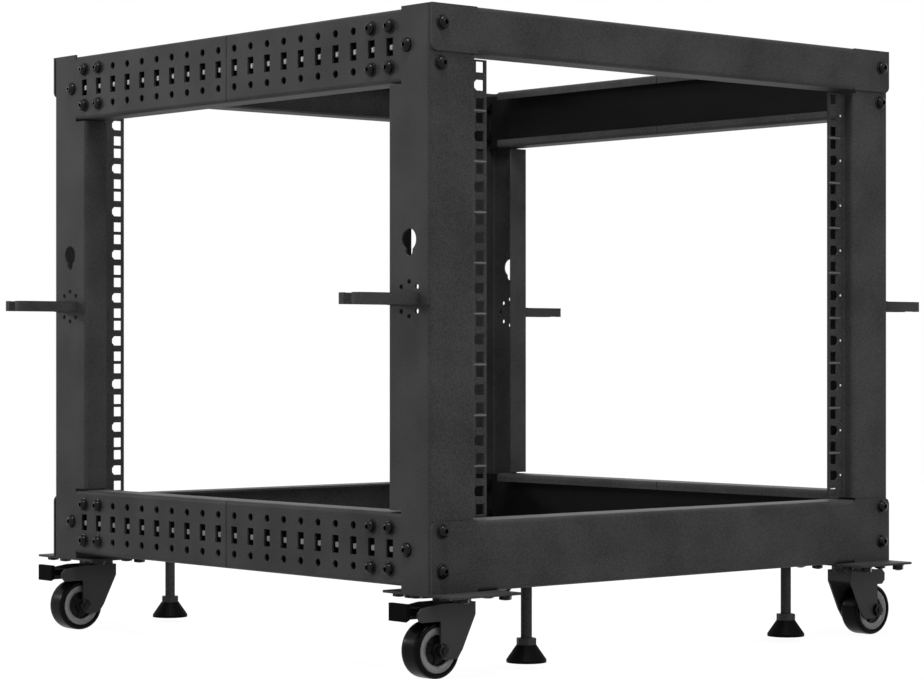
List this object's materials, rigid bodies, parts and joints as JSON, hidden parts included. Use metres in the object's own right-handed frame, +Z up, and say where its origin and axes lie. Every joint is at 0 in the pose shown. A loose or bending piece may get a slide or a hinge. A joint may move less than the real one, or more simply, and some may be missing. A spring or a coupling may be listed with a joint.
{
  "type": "four post open frame rack",
  "caption": "Open frame rack on swivel casters: bent sheet posts with square hole strips, perforated side rails, cable rings and levelling feet.",
  "frame": {"origin": "on the floor under the middle of the frame", "axes": "+X to the right seen from the front, +Y to the rear, +Z up"},
  "size_m": [0.736, 0.658, 0.582],
  "materials": {
    "frame_black": "satin",
    "caster_steel": "satin",
    "wheel_tyre": "matte",
    "foot_steel": "satin",
    "pedal_plastic": "matte"
  },
  "bodies": {
    "rack": {"post_front_left": "frame_black", "cable_ring_front_left": "frame_black", "caster_plate_front_left": "frame_black", "lower_rail_front_left": "frame_black", "upper_rail_front_left": "frame_black", "post_rear_left": "frame_black", "cable_ring_rear_left": "frame_black", "caster_plate_rear_left": "frame_black", "lower_rail_rear_left": "frame_black", "upper_rail_rear_left": "frame_black", "post_front_right": "frame_black", "cable_ring_front_right": "frame_black", "caster_plate_front_right": "frame_black", "lower_rail_front_right": "frame_black", "upper_rail_front_right": "frame_black", "post_rear_right": "frame_black", "cable_ring_rear_right": "frame_black", "caster_plate_rear_right": "frame_black", "lower_rail_rear_right": "frame_black", "upper_rail_rear_right": "frame_black", "lower_inner_rail_left": "frame_black", "upper_inner_rail_left": "frame_black", "lower_inner_rail_right": "frame_black", "upper_inner_rail_right": "frame_black", "bottom_beam_front": "frame_black", "top_beam_front": "frame_black", "bottom_beam_rear": "frame_black", "top_beam_rear": "frame_black"},
    "swivel_front_left": {"caster_fork_front_left": "caster_steel"},
    "wheel_front_left": {"caster_wheel_front_left": "wheel_tyre"},
    "foot_front_left": {"levelling_foot_front_left": "foot_steel"},
    "pedal_front_left": {"brake_pedal_front_left": "pedal_plastic"},
    "swivel_rear_left": {"caster_fork_rear_left": "caster_steel"},
    "wheel_rear_left": {"caster_wheel_rear_left": "wheel_tyre"},
    "foot_rear_left": {"levelling_foot_rear_left": "foot_steel"},
    "pedal_rear_left": {"brake_pedal_rear_left": "pedal_plastic"},
    "swivel_front_right": {"caster_fork_front_right": "caster_steel"},
    "wheel_front_right": {"caster_wheel_front_right": "wheel_tyre"},
    "foot_front_right": {"levelling_foot_front_right": "foot_steel"},
    "swivel_rear_right": {"caster_fork_rear_right": "caster_steel"},
    "wheel_rear_right": {"caster_wheel_rear_right": "wheel_tyre"},
    "foot_rear_right": {"levelling_foot_rear_right": "foot_steel"}
  },
  "joints": [
    {"name": "swivel_front_left", "type": "hinge", "parent": "rack", "child": "swivel_front_left", "pos_m": [-0.261, -0.279, 0.0655], "axis": [0, 0, 1], "continuous": true},
    {"name": "roll_front_left", "type": "hinge", "parent": "swivel_front_left", "child": "wheel_front_left", "pos_m": [-0.2854, -0.279, 0.025], "axis": [0, 1, 0], "continuous": true},
    {"name": "level_front_left", "type": "slide", "parent": "rack", "child": "foot_front_left", "axis": [0, 0, 1], "range_m": [-0.0055, 0.006]},
    {"name": "brake_front_left", "type": "hinge", "parent": "swivel_front_left", "child": "pedal_front_left", "pos_m": [-0.2884, -0.279, 0.059], "axis": [0, 1, 0], "range_deg": [-8, 0]},
    {"name": "swivel_rear_left", "type": "hinge", "parent": "rack", "child": "swivel_rear_left", "pos_m": [-0.261, 0.279, 0.0655], "axis": [0, 0, 1], "continuous": true},
    {"name": "roll_rear_left", "type": "hinge", "parent": "swivel_rear_left", "child": "wheel_rear_left", "pos_m": [-0.2854, 0.279, 0.025], "axis": [0, 1, 0], "continuous": true},
    {"name": "level_rear_left", "type": "slide", "parent": "rack", "child": "foot_rear_left", "axis": [0, 0, 1], "range_m": [-0.0055, 0.006]},
    {"name": "brake_rear_left", "type": "hinge", "parent": "swivel_rear_left", "child": "pedal_rear_left", "pos_m": [-0.2884, 0.279, 0.059], "axis": [0, 1, 0], "range_deg": [-8, 0]},
    {"name": "swivel_front_right", "type": "hinge", "parent": "rack", "child": "swivel_front_right", "pos_m": [0.261, -0.279, 0.0655], "axis": [0, 0, 1], "continuous": true},
    {"name": "roll_front_right", "type": "hinge", "parent": "swivel_front_right", "child": "wheel_front_right", "pos_m": [0.2854, -0.279, 0.025], "axis": [0, 1, 0], "continuous": true},
    {"name": "level_front_right", "type": "slide", "parent": "rack", "child": "foot_front_right", "axis": [0, 0, 1], "range_m": [-0.0055, 0.006]},
    {"name": "swivel_rear_right", "type": "hinge", "parent": "rack", "child": "swivel_rear_right", "pos_m": [0.261, 0.279, 0.0655], "axis": [0, 0, 1], "continuous": true},
    {"name": "roll_rear_right", "type": "hinge", "parent": "swivel_rear_right", "child": "wheel_rear_right", "pos_m": [0.2854, 0.279, 0.025], "axis": [0, 1, 0], "continuous": true},
    {"name": "level_rear_right", "type": "slide", "parent": "rack", "child": "foot_rear_right", "axis": [0, 0, 1], "range_m": [-0.0055, 0.006]}
  ]
}
